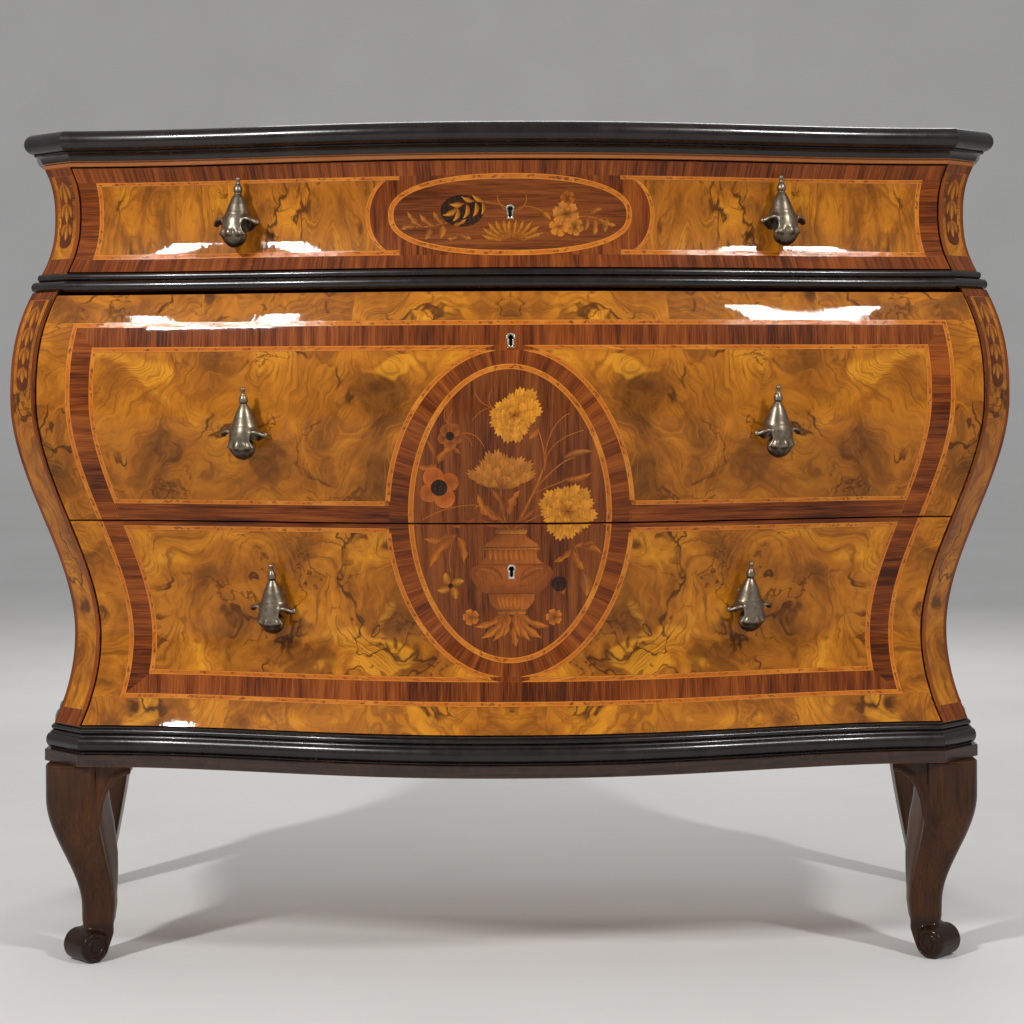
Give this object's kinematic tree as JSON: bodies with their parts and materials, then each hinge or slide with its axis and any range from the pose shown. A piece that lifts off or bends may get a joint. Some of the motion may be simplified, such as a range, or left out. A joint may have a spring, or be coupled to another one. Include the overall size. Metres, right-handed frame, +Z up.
{
  "type": "bombe chest of drawers",
  "caption": "Bombe chest of drawers with bowed marquetry fronts, ebonised mouldings, canted corners and scroll-footed cabriole legs; drawers slide and lock.",
  "frame": {"origin": "middle of the plan of the bounding box, on the floor", "axes": "+X to the viewer's right facing the drawers, +Y towards the back, +Z up"},
  "size_m": [1.2342, 0.5836, 0.989],
  "materials": {
    "burl_walnut": "burl walnut veneer with crossbanding, high shellac polish",
    "ebonised": "ebonised and polished, arrises worn brown",
    "leg_wood": "dark stained and polished",
    "secondary_wood": "plain planed softwood, unfinished",
    "bronze": "cast, antique patina, rubbed bright on the high points",
    "liner_brass": "polished, tarnished in the corners",
    "lock_iron": "dull iron"
  },
  "bodies": {
    "carcase": {"top_panel": "burl_walnut", "top_frame": "secondary_wood", "waist_rail": "secondary_wood", "middle_rail": "secondary_wood", "base_frame": "secondary_wood", "bottom_board": "secondary_wood", "front_post_right": "burl_walnut", "front_post_left": "burl_walnut", "rear_post_right": "secondary_wood", "rear_post_left": "secondary_wood", "side_panel_right": "burl_walnut", "side_panel_left": "burl_walnut", "back_panel": "secondary_wood", "drawer_runners": "secondary_wood", "bottom_drawer_guides": "secondary_wood", "drawer_stops": "secondary_wood", "leg_dowels": "secondary_wood", "base_moulding_front": "ebonised", "base_moulding_right": "ebonised", "base_moulding_left": "ebonised", "waist_moulding_front": "ebonised", "waist_moulding_right": "ebonised", "waist_moulding_left": "ebonised", "top_moulding_front": "ebonised", "top_moulding_right": "ebonised", "top_moulding_left": "ebonised", "front_leg_right": "leg_wood", "front_leg_left": "leg_wood", "rear_leg_right": "leg_wood", "rear_leg_left": "leg_wood"},
    "bottom_drawer": {"bottom_drawer_front": "burl_walnut", "bottom_drawer_side_right": "secondary_wood", "bottom_drawer_side_left": "secondary_wood", "bottom_drawer_back": "secondary_wood", "bottom_drawer_bottom": "secondary_wood", "bottom_drawer_escutcheon": "liner_brass", "bottom_drawer_lock_case": "lock_iron", "bottom_drawer_pulls": "bronze", "bottom_drawer_pull_screws": "lock_iron"},
    "bottom_drawer_bolt": {"bottom_drawer_lock_bolt": "lock_iron"},
    "middle_drawer": {"middle_drawer_front": "burl_walnut", "middle_drawer_side_right": "secondary_wood", "middle_drawer_side_left": "secondary_wood", "middle_drawer_back": "secondary_wood", "middle_drawer_bottom": "secondary_wood", "middle_drawer_escutcheon": "liner_brass", "middle_drawer_lock_case": "lock_iron", "middle_drawer_pulls": "bronze", "middle_drawer_pull_screws": "lock_iron"},
    "middle_drawer_bolt": {"middle_drawer_lock_bolt": "lock_iron"},
    "top_drawer": {"top_drawer_front": "burl_walnut", "top_drawer_side_right": "secondary_wood", "top_drawer_side_left": "secondary_wood", "top_drawer_back": "secondary_wood", "top_drawer_bottom": "secondary_wood", "top_drawer_escutcheon": "liner_brass", "top_drawer_lock_case": "lock_iron", "top_drawer_pulls": "bronze", "top_drawer_pull_screws": "lock_iron"},
    "top_drawer_bolt": {"top_drawer_lock_bolt": "lock_iron"}
  },
  "joints": [
    {"name": "bottom_drawer_slide", "type": "slide", "parent": "carcase", "child": "bottom_drawer", "axis": [0, -1, 0], "range_m": [0, 0.3]},
    {"name": "bottom_drawer_bolt_slide", "type": "slide", "parent": "bottom_drawer", "child": "bottom_drawer_bolt", "axis": [0, 0, 1], "range_m": [0, 0.009]},
    {"name": "middle_drawer_slide", "type": "slide", "parent": "carcase", "child": "middle_drawer", "axis": [0, -1, 0], "range_m": [0, 0.3]},
    {"name": "middle_drawer_bolt_slide", "type": "slide", "parent": "middle_drawer", "child": "middle_drawer_bolt", "axis": [0, 0, 1], "range_m": [0, 0.009]},
    {"name": "top_drawer_slide", "type": "slide", "parent": "carcase", "child": "top_drawer", "axis": [0, -1, 0], "range_m": [0, 0.3]},
    {"name": "top_drawer_bolt_slide", "type": "slide", "parent": "top_drawer", "child": "top_drawer_bolt", "axis": [0, 0, 1], "range_m": [0, 0.009]}
  ]
}
